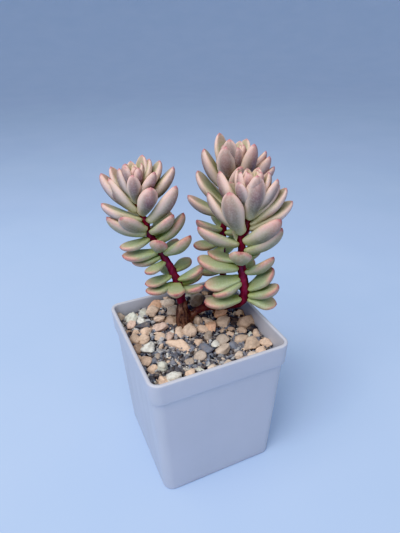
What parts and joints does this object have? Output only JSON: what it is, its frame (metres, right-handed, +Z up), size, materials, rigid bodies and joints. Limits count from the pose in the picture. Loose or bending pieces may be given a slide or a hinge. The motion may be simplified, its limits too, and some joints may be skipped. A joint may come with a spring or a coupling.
{
  "type": "potted sedum",
  "caption": "Small square plastic nursery pot of gravelly soil, with a branching succulent whose leafy stems end in rosettes.",
  "frame": {"origin": "centre of the pot's square base, on the face it stands on", "axes": "+Z up out of the pot, -Y out of the pot's front wall, +X to the right seen from the front"},
  "size_m": [0.067, 0.0564, 0.1278],
  "materials": {
    "pot_plastic": "satin moulded plastic, pale lavender white",
    "potting_soil": "dark crumbly peat mix",
    "mixed_gravel": "mixed pebbles and fine grit, matt",
    "bark": "dark reddish brown bark",
    "green_leaf": "waxy grey green with pink edges",
    "pink_leaf": "waxy cream green turning pink at the tips"
  },
  "bodies": {
    "root": {"pot": "pot_plastic", "soil": "potting_soil", "gravel": "mixed_gravel", "trunk": "bark", "left_shoot": "green_leaf", "left_rosette": "pink_leaf", "front_shoot": "green_leaf", "front_rosette": "pink_leaf", "back_shoot": "green_leaf", "back_rosette": "pink_leaf"}
  },
  "joints": []
}
